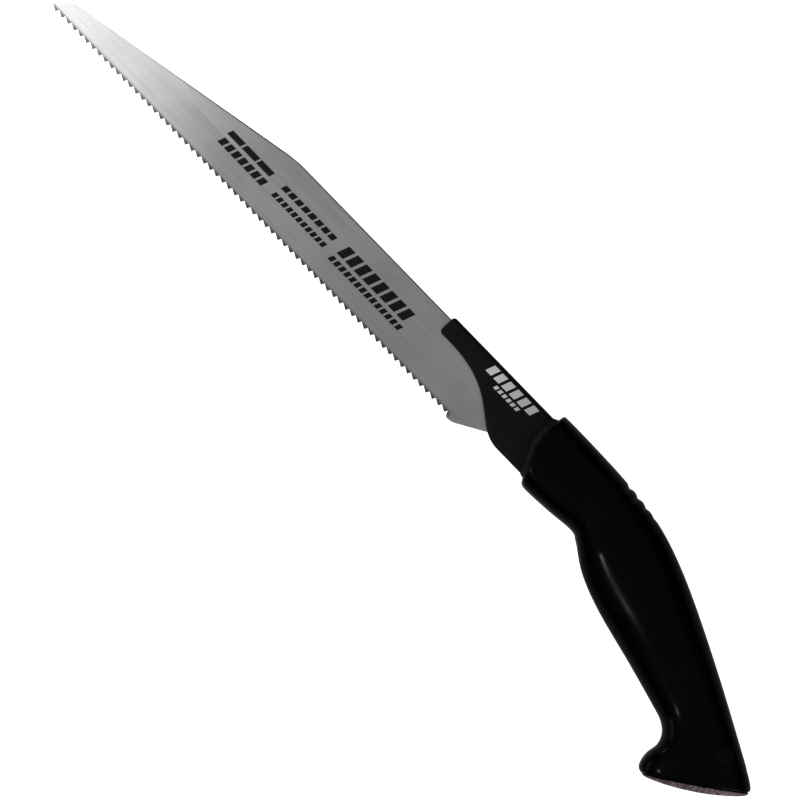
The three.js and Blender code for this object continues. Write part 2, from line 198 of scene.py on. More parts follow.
CAMERA_LENS = 300.0
CAMERA_SENSOR = 36.0
CAMERA_VIEW = 338.6  # width of what the camera sees at the blade's height
CAMERA_AIM = (222.6, -9.9)
CAMERA_ROLL = 45.86

# ---------------------------------------------------------------- frame

TIP_X = cad_box[0].x
TEETH_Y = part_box("blade")[0].y + HEEL_DROP * MM
MID_Z = (cad_box[0].z + cad_box[1].z) / 2
FLOOR_Z = cad_box[0].z


def place(points):
    """Points of the saw's layout, in the frame's metres."""
    return np.asarray(points, float) * MM + (TIP_X, TEETH_Y, MID_Z)


# ---------------------------------------------------------------- camera, lights and floor


def make_camera():
    data = bpy.data.cameras.new("camera")
    data.lens = CAMERA_LENS
    data.sensor_width = CAMERA_SENSOR
    camera = bpy.data.objects.new("camera", data)
    scene.collection.objects.link(camera)
    aim = Vector(place((*CAMERA_AIM, 0.0)))
    distance = CAMERA_VIEW * MM * CAMERA_LENS / CAMERA_SENSOR
    camera.location = aim + Vector((0, 0, distance))
    camera.rotation_euler = (0, 0, math.radians(CAMERA_ROLL))
    scene.camera = camera


def area_light(name, at, towards, size, watts):
    data = bpy.data.lights.new(name, "AREA")
    data.shape = "RECTANGLE"
    data.size, data.size_y = size
    data.energy = watts
    light = bpy.data.objects.new(name, data)
    scene.collection.objects.link(light)
    light.location = at
    light.rotation_euler = (Vector(towards) - Vector(at)).to_track_quat("-Z", "Y").to_euler()
    light.visible_camera = False


def make_world():
    """A light tent: bright overhead, dark at its foot, plain white to the camera."""
    world = bpy.data.worlds.new("studio")
    world.use_nodes = True
    tree = world.node_tree
    tree.nodes.clear()
    seen = tree.nodes.new("ShaderNodeBackground")
    seen.inputs["Color"].default_value = (1.0, 1.0, 1.0, 1)
    lit = tree.nodes.new("ShaderNodeBackground")
    lit.inputs["Color"].default_value = (1.0, 1.0, 1.0, 1)
    coordinates = tree.nodes.new("ShaderNodeTexCoord")
    split = tree.nodes.new("ShaderNodeSeparateXYZ")
    rise = tree.nodes.new("ShaderNodeMapRange")
    rise.interpolation_type = "SMOOTHSTEP"
    rise.inputs["From Min"].default_value, rise.inputs["From Max"].default_value = TENT_RISE
    rise.inputs["To Min"].default_value, rise.inputs["To Max"].default_value = TENT_STRENGTH
    tree.links.new(coordinates.outputs["Generated"], split.inputs[0])
    tree.links.new(split.outputs[2], rise.inputs["Value"])
    tree.links.new(rise.outputs[0], lit.inputs["Strength"])
    path = tree.nodes.new("ShaderNodeLightPath")
    mix = tree.nodes.new("ShaderNodeMixShader")
    out = tree.nodes.new("ShaderNodeOutputWorld")
    tree.links.new(path.outputs["Is Camera Ray"], mix.inputs[0])
    tree.links.new(lit.outputs[0], mix.inputs[1])
    tree.links.new(seen.outputs[0], mix.inputs[2])
    tree.links.new(mix.outputs[0], out.inputs["Surface"])
    scene.world = world


def make_floor(material):
    half = 3.0
    corners = [(-half, -half, FLOOR_Z), (half, -half, FLOOR_Z), (half, half, FLOOR_Z), (-half, half, FLOOR_Z)]
    mesh = bpy.data.meshes.new("floor")
    mesh.from_pydata(corners, [], [(0, 1, 2, 3)])
    floor = bpy.data.objects.new("floor", mesh)
    scene.collection.objects.link(floor)
    floor.data.materials.append(material)


# ---------------------------------------------------------------- materials


class Look:
    """A node material whose patterns are fixed in the piece's own space."""

    def __init__(self, name, colour, roughness, metallic=0.0, specular=0.5):
        self.material = bpy.data.materials.new(name)
        self.material.use_nodes = True
        self.tree = self.material.node_tree
        self.shader = self.tree.nodes["Principled BSDF"]
        self.shader.inputs["Base Color"].default_value = (*colour, 1)
        self.shader.inputs["Roughness"].default_value = roughness
        self.shader.inputs["Metallic"].default_value = metallic
        self.shader.inputs["Specular IOR Level"].default_value = specular
        self.space = self.tree.nodes.new("ShaderNodeTexCoord").outputs["Object"]

    def link(self, value, socket):
        if hasattr(value, "is_linked"):
            self.tree.links.new(value, socket)
        else:
            socket.default_value = value

    def math(self, operation, a, b):
        node = self.tree.nodes.new("ShaderNodeMath")
        node.operation = operation
        self.link(a, node.inputs[0])
        self.link(b, node.inputs[1])
        return node.outputs[0]

    def along(self, axis, origin=0.0):
        """A coordinate in millimetres, from an origin in metres."""
        split = self.tree.nodes.new("ShaderNodeSeparateXYZ")
        self.tree.links.new(self.space, split.inputs[0])
        moved = self.math("SUBTRACT", split.outputs["XYZ".index(axis)], origin)
        return self.math("MULTIPLY", moved, 1 / MM)

    def noise(self, scale, detail=3.0, rough=0.55, stretch=(1, 1, 1)):
        mapping = self.tree.nodes.new("ShaderNodeMapping")
        mapping.inputs["Scale"].default_value = stretch
        self.tree.links.new(self.space, mapping.inputs["Vector"])
        node = self.tree.nodes.new("ShaderNodeTexNoise")
        node.inputs["Scale"].default_value = scale
        node.inputs["Detail"].default_value = detail
        node.inputs["Roughness"].default_value = rough
        self.tree.links.new(mapping.outputs[0], node.inputs["Vector"])
        return node.outputs[0]

    def specks(self, scale, reach):
        """1 in small round specks and 0 between them."""
        node = self.tree.nodes.new("ShaderNodeTexVoronoi")
        node.inputs["Scale"].default_value = scale
        self.tree.links.new(self.space, node.inputs["Vector"])
        return self.ramp(node.outputs["Distance"], reach, 0.0)

    def ramp(self, value, low, high, to_low=0.0, to_high=1.0):
        """Smoothly from to_low where the value is low to to_high where it is high."""
        node = self.tree.nodes.new("ShaderNodeMapRange")
        node.interpolation_type = "SMOOTHSTEP"
        flip = low > high
        self.link(value, node.inputs["Value"])
        node.inputs["From Min"].default_value = min(low, high)
        node.inputs["From Max"].default_value = max(low, high)
        node.inputs["To Min"].default_value = to_high if flip else to_low
        node.inputs["To Max"].default_value = to_low if flip else to_high
        return node.outputs[0]

    def band(self, value, low, high, soft):
        """1 between two values, with soft ends."""
        rise = self.ramp(value, low - soft, low + soft)
        fall = self.ramp(value, high + soft, high - soft)
        return self.math("MULTIPLY", rise, fall)

    def mix(self, factor, a, b):
        node = self.tree.nodes.new("ShaderNodeMix")
        node.data_type = "RGBA"
        self.link(factor, node.inputs["Factor"])
        for socket, colour in ((node.inputs[6], a), (node.inputs[7], b)):
            self.link(colour if hasattr(colour, "is_linked") else (*colour, 1), socket)
        return node.outputs[2]

    def edges(self, low, high):
        """1 on sharp convex edges, from the mesh's own pointiness."""
        node = self.tree.nodes.new("ShaderNodeNewGeometry")
        return self.ramp(node.outputs["Pointiness"], low, high)

    def colour(self, socket):
        self.tree.links.new(socket, self.shader.inputs["Base Color"])

    def roughness(self, socket):
        self.tree.links.new(socket, self.shader.inputs["Roughness"])

    def bump(self, *layers):
        """Height layers as (socket, depth in metres), from coarse to fine."""
        normal = None
        for height, depth in layers:
            node = self.tree.nodes.new("ShaderNodeBump")
            node.inputs["Distance"].default_value = depth
            node.inputs["Strength"].default_value = 1.0
            self.tree.links.new(height, node.inputs["Height"])
            if normal is not None:
                self.tree.links.new(normal, node.inputs["Normal"])
            normal = node.outputs[0]
        self.tree.links.new(normal, self.shader.inputs["Normal"])


def bar_row(look, x, y, left, count, low, high, pitch, width, slant=0.35, soft=0.12):
    """A printed mark: a row of plain slanted bars from a station on, between two heights."""
    leaning = look.math("SUBTRACT", x, look.math("MULTIPLY", y, slant))
    offset = look.math("SUBTRACT", leaning, left - low * slant)
    phase = look.math("FLOORED_MODULO", offset, pitch)
    bars = look.band(phase, soft, width, soft)
    rows = look.band(y, low, high, soft)
    ends = look.band(offset, 0.0, (count - 0.5) * pitch + width / 2, soft)
    return look.math("MULTIPLY", look.math("MULTIPLY", bars, rows), ends)


def either(look, masks):
    total = masks[0]
    for mask in masks[1:]:
        total = look.math("MAXIMUM", total, mask)
    return total


STEEL_METALLIC = 0.7  # below 1, which keeps the steel bright where it mirrors the tent's dark foot
WINDOW_TINT = (0.006, 0.0022, 0.0022)
WINDOW_ZONE = (380.0, 400.0)  # stations between which the core's colour changes to the window's
CORE_TONE = 0.09
# The cap's plastic is a far lighter copy of the core's: painted light, for the light that catches the butt's
# curved edge.
CAP_PAINTED_LIGHT_TONE = 0.55
# Dark, middle and light grain of the hard plastic, as shares of its tone
PLASTIC_TONES = ((0.22, 0.16, 0.165), (0.45, 0.36, 0.37), (0.86, 0.71, 0.73))


def blade_steel():
    """Ground steel: lengthwise grain, cloudy tone, darker teeth, a painted shade line along the spine, and
    worn black print.
    """
    look = Look("ground steel", (0.5, 0.5, 0.49), 0.45, metallic=STEEL_METALLIC)
    x, y = look.along("X", TIP_X), look.along("Y", TEETH_Y)
    grain = look.noise(1.0, 4.0, 0.7, stretch=(90, 5200, 900))
    brush = look.noise(1.0, 3.0, 0.6, stretch=(24, 900, 300))
    cloud = look.noise(26.0, 4.0, 0.6)
    smudge = look.noise(70.0, 3.0, 0.5, stretch=(0.5, 1, 1))
    tone = look.math("ADD", look.math("MULTIPLY", grain, 0.30), look.math("MULTIPLY", brush, 0.30))
    tone = look.math("ADD", tone, look.math("MULTIPLY", cloud, 0.40))
    steel = look.mix(look.ramp(tone, 0.36, 0.64), (0.46, 0.46, 0.455), (0.57, 0.57, 0.565))
    hardened = look.math("MULTIPLY", look.ramp(y, 2.5, 1.0), look.ramp(x, TOOTH_EDGE + 3, TOOTH_EDGE))
    steel = look.mix(look.math("MULTIPLY", hardened, 0.8), steel, (0.07, 0.072, 0.078))
    # Painted shade: a thin dark line along the spine's edge, where it falls into shadow, growing from 35 to
    # 95 mm from the tip.
    taper_start = TIP_CORNER[1] - TIP_CORNER[0] * TAPER_RISE
    taper = look.math("ADD", look.math("MULTIPLY", x, TAPER_RISE), taper_start)
    below = look.math("SUBTRACT", look.math("MINIMUM", taper, SPINE_Y), y)
    spine_shade = look.math("MULTIPLY", look.ramp(below, 0.75, 0.35), look.ramp(x, 35.0, 95.0, 0.1, 0.75))
    steel = look.mix(spine_shade, steel, (0.06, 0.06, 0.06))
    ink = either(look, [bar_row(look, x, y, *row) for row in BLADE_MARKS])
    worn = look.ramp(look.noise(2600.0, 2.0, 0.6), 0.18, 0.28)
    ink = look.math("MULTIPLY", ink, worn)
    look.colour(look.mix(look.math("MULTIPLY", ink, 0.96), steel, (0.004, 0.004, 0.004)))
    look.tree.links.new(look.ramp(ink, 0.0, 1.0, STEEL_METALLIC, 0.0), look.shader.inputs["Metallic"])
    look.tree.links.new(look.ramp(ink, 0.0, 1.0, 0.5, 0.12), look.shader.inputs["Specular IOR Level"])
    ground = look.ramp(brush, 0.3, 0.7, 0.42, 0.50)
    handled = look.ramp(smudge, 0.35, 0.7, -0.03, 0.05)
    rough = look.math("ADD", ground, handled)
    look.roughness(look.math("ADD", rough, look.math("MULTIPLY", ink, 0.15)))
    look.bump((brush, 0.000005), (grain, 0.000006))
    return look.material


def holder_paint():
    """Satin powder paint: fine orange peel, lighter edges that are partly rubbed paint and partly a painted
    highlight, and a plain white mark.
    """
    look = Look("grey powder paint", (0.008, 0.0081, 0.0079), 0.42, specular=0.25)
    x, y = look.along("X", TIP_X), look.along("Y", TEETH_Y)
    peel = look.noise(900.0, 2.0, 0.5)
    cloud = look.noise(60.0, 3.0, 0.6)
    paint = look.mix(look.ramp(cloud, 0.3, 0.7), (0.0090, 0.0091, 0.0088), (0.0140, 0.0141, 0.0136))
    # Lighter paint in patches on sharp edges: partly rubbed paint, partly a painted highlight where the edges
    # catch the light.
    edge_wear_and_sheen = look.math("MULTIPLY", look.edges(0.53, 0.60), look.ramp(look.noise(260.0, 3.0, 0.6), 0.42, 0.62))
    paint = look.mix(look.math("MULTIPLY", edge_wear_and_sheen, 0.5), paint, (0.09, 0.09, 0.09))
    mark = either(look, [bar_row(look, x, y, *row) for row in HOLDER_MARKS])
    mark = look.math("MULTIPLY", mark, look.ramp(look.noise(2600.0, 2.0, 0.6), 0.26, 0.36))
    look.colour(look.mix(mark, paint, (0.98, 0.98, 0.97)))
    look.roughness(look.ramp(cloud, 0.3, 0.7, 0.36, 0.50))
    look.bump((peel, 0.000025))
    return look.material


def grip_rubber():
    """Smooth black elastomer: soft sheen, faint flow marks and duller edges."""
    look = Look("black elastomer", (0.0030, 0.0022, 0.0021), 0.3, specular=0.1)
    cloud = look.noise(38.0, 4.0, 0.6)
    pore = look.noise(1500.0, 2.0, 0.5)
    flow = look.noise(30.0, 3.0, 0.6, stretch=(0.5, 2.4, 1))
    tone = look.ramp(cloud, 0.3, 0.7)
    look.colour(look.mix(tone, (0.0014, 0.0009, 0.0009), (0.0030, 0.0021, 0.0020)))
    dull = look.ramp(flow, 0.35, 0.70, 0.15, 0.23)
    edge_wear_and_sheen = look.math("MULTIPLY", look.edges(0.52, 0.60), 0.12)
    look.roughness(look.math("ADD", dull, edge_wear_and_sheen))
    look.bump((flow, 0.00006), (pore, 0.000006))
    return look.material


def core_plastic(name, tone, tint_share):
    """Hard reddish-grey plastic with a fine light and dark speckle; tone is its lightest grey.

    tint_share says how much of the window's tint it takes on behind the window.
    """
    look = Look(name, (0.3 * tone, 0.24 * tone, 0.24 * tone), 0.6, specular=0.12)
    fine = look.noise(900.0, 3.0, 0.7)
    coarse = look.noise(260.0, 3.0, 0.6)
    dark, middle, light = [tuple(tone * c for c in colour) for colour in PLASTIC_TONES]
    base = look.mix(look.ramp(coarse, 0.35, 0.65), dark, middle)
    base = look.mix(look.ramp(fine, 0.50, 0.66), base, light)
    base = look.mix(look.math("MULTIPLY", look.specks(1300.0, 0.22), 0.7), base, dark)
    window = look.math("MULTIPLY", look.ramp(look.along("X", TIP_X), *WINDOW_ZONE), tint_share)
    base = look.mix(window, base, WINDOW_TINT)
    look.colour(base)
    look.roughness(look.ramp(coarse, 0.3, 0.7, 0.5, 0.72))
    look.bump((fine, 0.00004))
    return look.material


def zinc_plate():
    """Zinc-plated steel with turning marks and a dull bloom."""
    look = Look("zinc plate", (0.55, 0.55, 0.55), 0.38, metallic=1.0)
    bloom = look.noise(300.0, 4.0, 0.6)
    turning = look.noise(1.0, 2.0, 0.6, stretch=(300, 300, 4000))
    look.colour(look.mix(look.ramp(bloom, 0.35, 0.65), (0.40, 0.40, 0.41), (0.62, 0.62, 0.61)))
    look.roughness(look.ramp(bloom, 0.3, 0.7, 0.30, 0.50))
    look.bump((turning, 0.00001))
    return look.material


def floor_paper():
    """Pale backdrop paper with a barely visible tooth."""
    look = Look("backdrop paper", (0.64, 0.64, 0.64), 0.9, specular=0.1)
    fibre = look.noise(1200.0, 2.0, 0.5)
    look.colour(look.mix(look.ramp(fibre, 0.3, 0.7), (0.63, 0.63, 0.63), (0.65, 0.65, 0.65)))
    path = look.tree.nodes.new("ShaderNodeLightPath")
    look.shader.inputs["Emission Color"].default_value = (1, 1, 1, 1)
    glow = look.ramp(path.outputs["Is Camera Ray"], 0.0, 1.0, *FLOOR_GLOW)
    look.tree.links.new(glow, look.shader.inputs["Emission Strength"])
    return look.material


# ---------------------------------------------------------------- mesh helpers


def new_mesh(name, points, faces):
    mesh = bpy.data.meshes.new(name)
    mesh.from_pydata(place(points).tolist(), [], [tuple(int(i) for i in f) for f in faces])
    mesh.update()
    thing = bpy.data.objects.new(name, mesh)
    scene.collection.objects.link(thing)
    return thing


def face_outwards(thing):
    edit = bmesh.new()
    edit.from_mesh(thing.data)
    bmesh.ops.recalc_face_normals(edit, faces=edit.faces)
    if edit.calc_volume(signed=True) < 0:
        bmesh.ops.reverse_faces(edit, faces=edit.faces)
    edit.to_mesh(thing.data)
    edit.free()


def shade(thing, degrees):
    """Smooth shading, broken at edges sharper than the angle."""
    edit = bmesh.new()
    edit.from_mesh(thing.data)
    limit = math.radians(degrees)
    for face in edit.faces:
        face.smooth = True
    for edge in edit.edges:
        edge.smooth = len(edge.link_faces) == 2 and edge.calc_face_angle(0.0) < limit
    edit.to_mesh(thing.data)
    edit.free()


def cut(thing, cutter, operation="DIFFERENCE"):
    """Applies a boolean with the cutter, and removes the cutter."""
    modifier = thing.modifiers.new("cut", "BOOLEAN")
    modifier.operation = operation
    modifier.solver = "EXACT"
    modifier.object = cutter
    graph = bpy.context.evaluated_depsgraph_get()
    mesh = bpy.data.meshes.new_from_object(thing.evaluated_get(graph))
    thing.modifiers.remove(modifier)
    thing.data = mesh
    bpy.data.objects.remove(cutter)


def finish_piece(piece, body, material, nodes, degrees):
    """Gives a piece its material and shading, and tells the frame what it rides on and replaces."""
    piece.data.materials.clear()
    piece.data.materials.append(material)
    shade(piece, degrees)
    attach(piece, body)
    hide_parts(*nodes)


def tube_faces(rows, columns, close_rows=False):
    """Quads over a grid of rings, wrapped round each ring, and from the last ring to the first."""
    faces = []
    for r in range(rows if close_rows else rows - 1):
        after = (r + 1) % rows
        for c in range(columns):
            d = (c + 1) % columns
            faces.append((r * columns + c, r * columns + d, after * columns + d, after * columns + c))
    return faces


def closed_tube(name, rows, points):
    """A closed solid through rings of points, with a flat face across either end."""
    columns = len(points) // rows
    last = (rows - 1) * columns
    faces = tube_faces(rows, columns)
    faces += [tuple(range(columns))[::-1], tuple(range(last, last + columns))]
    solid = new_mesh(name, points, faces)
    face_outwards(solid)
    return solid


# Faces of a box with its corners counted round its lower end and then round its upper end
BOX_FACES = [(0, 3, 2, 1), (4, 5, 6, 7)] + [(i, (i + 1) % 4, (i + 1) % 4 + 4, i + 4) for i in range(4)]


def block(name, low, high):
    (x0, y0, z0), (x1, y1, z1) = low, high
    points = [(x, y, z) for z in (z0, z1) for x, y in ((x0, y0), (x1, y0), (x1, y1), (x0, y1))]
    return new_mesh(name, points, BOX_FACES)


def prism(name, outline, low, high):
    """A closed solid of one outline between two heights."""
    count = len(outline)
    points = [(x, y, low) for x, y in outline] + [(x, y, high) for x, y in outline]
    faces = [tuple(range(count))[::-1], tuple(range(count, 2 * count))]
    faces += [(i, (i + 1) % count, (i + 1) % count + count, i + count) for i in range(count)]
    solid = new_mesh(name, points, faces)
    face_outwards(solid)
    return solid


def circle(x, y, radius, steps=48):
    turns = [2 * math.pi * i / steps for i in range(steps)]
    return [(x + radius * math.cos(t), y + radius * math.sin(t)) for t in turns]


def join(name, things):
    """Several separate solids as one mesh."""
    edit = bmesh.new()
    for thing in things:
        edit.from_mesh(thing.data)
        bpy.data.objects.remove(thing)
    mesh = bpy.data.meshes.new(name)
    edit.to_mesh(mesh)
    edit.free()
    joined = bpy.data.objects.new(name, mesh)
    scene.collection.objects.link(joined)
    return joined


# ---------------------------------------------------------------- outlines


def bezier(points, count):
    """A cubic or quadratic curve through its control points, without its first point."""
    t = np.linspace(0, 1, count + 1)[1:, None]
    p = [np.array(q, float) for q in points]
    if len(p) == 3:
        return (1 - t) ** 2 * p[0] + 2 * t * (1 - t) * p[1] + t**2 * p[2]
    return (1 - t) ** 3 * p[0] + 3 * t * (1 - t) ** 2 * p[1] + 3 * t**2 * (1 - t) * p[2] + t**3 * p[3]


class Edge:
    """A smooth curve through points, read by the share of its length."""

    def __init__(self, points, steps=60):
        p = np.array(points, float)
        p = np.vstack([2 * p[0] - p[1], p, 2 * p[-1] - p[-2]])
        t = np.linspace(0, 1, steps, endpoint=False)[:, None]
        runs = []
        for a, b, c, d in zip(p, p[1:], p[2:], p[3:]):
            runs.append(0.5 * (2 * b + (c - a) * t + (2 * a - 5 * b + 4 * c - d) * t**2
                               + (3 * b - a - 3 * c + d) * t**3))
        self.points = np.vstack(runs + [p[-2:-1]])
        lengths = np.linalg.norm(np.diff(self.points, axis=0), axis=1)
        self.at = np.concatenate([[0], np.cumsum(lengths)])
        self.length = self.at[-1]

    def point(self, share):
        """The point at a share of the length, carried on straight beyond either end."""
        s = share * self.length
        inside = min(max(s, 0.0), self.length)
        found = np.array([np.interp(inside, self.at, self.points[:, i]) for i in (0, 1)])
        if s < 0:
            first = self.points[1] - self.points[0]
            return found + first / np.linalg.norm(first) * s
        if s > self.length:
            last = self.points[-1] - self.points[-2]
            return found + last / np.linalg.norm(last) * (s - self.length)
        return found

    def share_at_x(self, x):
        return float(np.interp(x, self.points[:, 0], self.at)) / self.length


top_edge = Edge(TOP_EDGE)
bottom_edge = Edge(BOTTOM_EDGE)


def smooth_step(t):
    return t * t * (3 - 2 * t)


def smooth_between(value, knots):
    """Smooth steps between (place, amount, ...) knots."""
    places = [k[0] for k in knots]
    value = min(max(value, places[0]), places[-1])
    i = max(1, next(n for n, p in enumerate(places) if p >= value))
    a, b = knots[i - 1], knots[i]
    t = smooth_step((value - a[0]) / (b[0] - a[0]))
    return [u + (v - u) * t for u, v in zip(a[1:], b[1:])]


# ---------------------------------------------------------------- blade


def blade_outline():
    """The blade's outline without its teeth, from the end of the tooth line round to the tip."""
    x = TOOTH_EDGE
    points = list(bezier(((x, TOOTH_DEPTH), (x + 0.6, -HEEL_DROP), (x + 2, -HEEL_DROP)), 6))
    points += list(bezier(((x + 2, -HEEL_DROP), (x + 4, -HEEL_DROP), (x + 6, 0.1)), 6))
    points += [HEEL_TOP, (HEEL_TOP[0] + 2.5, TANG_BOTTOM), (TANG_END - 3, TANG_BOTTOM)]
    heel = ((TANG_END - 3, TANG_BOTTOM), (TANG_END, TANG_BOTTOM), (TANG_END, TANG_BOTTOM + 3))
    points += list(bezier(heel, 6))
    points += [(TANG_END, HOOK_OPEN - 2), (TANG_END - 2, HOOK_OPEN), (HOOK[0] + HOOK_RADIUS, HOOK_OPEN)]
    for i in range(17):
        turn = -math.pi * i / 16
        points.append((HOOK[0] + HOOK_RADIUS * math.cos(turn), HOOK[1] + HOOK_RADIUS * math.sin(turn)))
    points.append((HOOK[0] - HOOK_RADIUS, HOOK_OPEN))
    rise = ((HOOK[0] - HOOK_RADIUS, HOOK_OPEN), (HOOK[0] - 3, SPINE_Y), (HOOK[0] - 6, SPINE_Y))
    points += list(bezier(rise, 6))
    points.append((SPINE_START, SPINE_Y))
    points += list(bezier(((SPINE_START, SPINE_Y), (SPINE_START - 5, SPINE_Y), TAPER_END), 12))
    corner = np.array(TIP_CORNER)
    along = (np.array(TAPER_END) - corner) / np.linalg.norm(np.array(TAPER_END) - corner)
    points.append(tuple(corner + along * 1.2))
    points += list(bezier((corner + along * 1.2, corner, corner * (0.86, 0.86)), 5))
    points += list(bezier(((1.0, TIP_NOSE + 0.75), (0.0, TIP_NOSE), (0.0, TIP_NOSE - 0.5)), 4))
    return [tuple(map(float, p)) for p in points]


def tooth_points(i):
    """Root and tip of a tooth on the upper and on the lower face, with its set and filed facet."""
    root = (i * TOOTH_PITCH, TOOTH_DEPTH)
    tip_x = (i + TOOTH_LEAN) * TOOTH_PITCH
    lean = TOOTH_SET if i % 2 else -TOOTH_SET
    upper_y, lower_y = (TOOTH_BEVEL, 0.0) if i % 2 else (0.0, TOOTH_BEVEL)
    upper = (tip_x - BEVEL_SLANT * upper_y, upper_y, BLADE_HALF + lean)
    lower = (tip_x - BEVEL_SLANT * lower_y, lower_y, -BLADE_HALF + lean)
    return root, upper, lower


def make_blade():
    upper, lower, tips = [], [], []
    for i in range(TOOTH_COUNT):
        root, tip_up, tip_low = tooth_points(i)
        upper.append((*root, BLADE_HALF))
        lower.append((*root, -BLADE_HALF))
        tips.append((tip_up, tip_low))
    rest = [(TOOTH_EDGE, TOOTH_DEPTH)] + blade_outline()
    upper += [(x, y, BLADE_HALF) for x, y in rest]
    lower += [(x, y, -BLADE_HALF) for x, y in rest]
    count = len(upper)
    points = upper + lower + [t[0] for t in tips] + [t[1] for t in tips]
    tip_up, tip_low = 2 * count, 2 * count + TOOTH_COUNT
    faces = [tuple(range(count)), tuple(range(2 * count - 1, count - 1, -1))]
    for i in range(TOOTH_COUNT):
        faces.append((i, tip_up + i, i + 1))
        faces.append((count + i, count + i + 1, tip_low + i))
        faces.append((i, count + i, tip_low + i, tip_up + i))
        faces.append((tip_up + i, tip_low + i, count + i + 1, i + 1))
    for i in range(TOOTH_COUNT, count):
        after = (i + 1) % count
        faces.append((i, i + count, after + count, after))
    blade = new_mesh("saw_blade", points, faces)
    chamfer_outline(blade, count)
    face_outwards(blade)
    finish_piece(blade, "blade", blade_steel(), ["blade"], 20)


def chamfer_outline(blade, count):
    """Breaks the sharp edges of the blade's outline behind the teeth."""
    edit = bmesh.new()
    edit.from_mesh(blade.data)
    edit.verts.ensure_lookup_table()
    chosen = []
    for edge in edit.edges:
        a, b = sorted(v.index for v in edge.verts)
        same_face = a < count and b < count or count <= a < 2 * count and count <= b < 2 * count
        if same_face and min(a % count, b % count) > TOOTH_COUNT and abs(a - b) == 1:
            chosen.append(edge)
    bmesh.ops.bevel(
        edit, geom=chosen, offset=BLADE_CHAMFER * MM, segments=2, affect="EDGES", clamp_overlap=True,
    )
    edit.to_mesh(blade.data)
    edit.free()


# ---------------------------------------------------------------- holder


def holder_reach(x):
    """Lower and upper edge of the holder's side at a station along it."""
    sweep = np.vstack([[HOLDER_SWEEP[0]], bezier(HOLDER_SWEEP, 60)])
    bottom, top = HOLDER_TANG[:2]
    low = float(np.interp(x, sweep[:, 0], sweep[:, 1]))
    if x > SHOULDER[0]:
        low = float(np.interp(x, (SHOULDER[0], SHOULDER[0] + SHOULDER_RUN), (low, bottom)))
    high = float(np.interp(x, (SHOULDER[1], SHOULDER[1] + SHOULDER_RUN), (HOLDER_TOP, top)))
    near = x - HOLDER_FRONT
    if near < HOLDER_CORNER:
        dip = HOLDER_CORNER - math.sqrt(HOLDER_CORNER**2 - (HOLDER_CORNER - near) ** 2)
        low, high = FINGER_BOTTOM + dip, HOLDER_TOP - dip
    return low, high


def holder_section(x, thinning):
    """The closed outline of the folded sheet across one station, as (y, z)."""
    low, high = holder_reach(x)
    outer, inner = SLOT_HALF + SHEET - thinning, SLOT_HALF + thinning
    bend = high - (SLOT_HALF + SHEET)
    middle, lip = (outer + inner) / 2, (outer - inner) / 2
    foot = low + lip
    legs = np.linspace(foot, bend, 12)
    fold = np.linspace(0, math.pi, 17)[1:-1]
    rim = np.linspace(0, math.pi, 7)[1:-1]
    section = [(y, outer) for y in legs]
    section += [(bend + outer * math.sin(a), outer * math.cos(a)) for a in fold]
    section += [(y, -outer) for y in legs[::-1]]
    section += [(foot - lip * math.sin(a), -middle - lip * math.cos(a)) for a in rim]
    section += [(y, -inner) for y in legs]
    section += [(bend + inner * math.sin(a), -inner * math.cos(a)) for a in fold]
    section += [(y, inner) for y in legs[::-1]]
    section += [(foot - lip * math.sin(a), middle - lip * math.cos(a)) for a in rim]
    return section


def holder_stations():
    """Stations along the holder, close round its rounded front edge, with the sheet's thinning there."""
    rounding = [(HOLDER_FRONT + SHEET_ROUNDING * (1 - math.cos(a)), SHEET_ROUNDING * (1 - math.sin(a)))
                for a in np.linspace(0, math.pi / 2, 5)]
    stations = [(x + FRONT_INSET, thin) for x, thin in rounding]
    stations += [(HOLDER_FRONT + d, 0.0) for d in (0.45, 0.6, 0.8, 1.05, 1.35, 1.7, 2.2, 3.0, 4.5)]
    stations += [(x, 0.0) for x in np.arange(220.0, 268.0, 1.0)]
    tang = (272, 276, 280, 284, 286, 288, 290, 292, 294, 296, 305, 315, 325, HOLDER_TANG[2])
    return stations + [(x, 0.0) for x in tang]


def make_holder():
    stations = holder_stations()
    points = []
    for x, thinning in stations:
        points += [(x, y, z) for y, z in holder_section(x, thinning)]
    holder = closed_tube("holder_sheet", len(stations), points)
    seat = SLOT_HALF + SEAT_DEPTH
    cutters = [prism("hole", circle(x, PIN_Y, PIN_HOLE), -THROUGH, THROUGH) for x in PIN_X]
    cutters.append(prism("seat", circle(*HOOK, HOOK_RADIUS), -seat, seat))
    cut(holder, join("holder_cutter", cutters))
    finish_piece(holder, "handle", holder_paint(), ["blade_holder"], 35)


# ---------------------------------------------------------------- handle surface


def ring_angles(count, seams=False):
    """Angles round a section: even, with extra ones where the mould's seam runs."""
    angles = list(np.linspace(0, 2 * math.pi, count, endpoint=False))
    if seams:
        for pole in (math.pi / 2, 3 * math.pi / 2):
            angles += [pole - 2 * SEAM_ANGLE, pole - SEAM_ANGLE, pole + SEAM_ANGLE, pole + 2 * SEAM_ANGLE]
    return np.array(sorted(set(round(a, 6) for a in angles)))


def bow(share, height):
    """How far the mouth bulges forward or the butt backward, at a height from -1 to 1."""
    if share < 0.5:
        heights, bulges = zip(*MOUTH_PROFILE)
        return -max(0.0, 1 - share / BOW_REACH) * np.interp(height, heights, bulges)
    if share < CAP_START:
        depth = SEAT_BOW * max(0.0, 1 - (CAP_START - share) / BOW_REACH)
    else:
        depth = SEAT_BOW + (BUTT_BOW - SEAT_BOW) * (share - CAP_START) / (1 - CAP_START)
    return depth * (1 - height**2)


def thumb_relief(share, lift):
    """Depth of the thumb grooves at a share of the length; lift is 1 on the back and 0 on the sides."""
    x = top_edge.point(share)[0]
    depth = sum(d * math.exp(-(((x - g) / GROOVE_WIDTH) ** 2)) for g, d in zip(GROOVE_X, GROOVE_DEPTH))
    start, run = GROOVE_FADE
    fade = np.clip((lift - start) / run, 0, 1)
    return depth * smooth_step(fade)


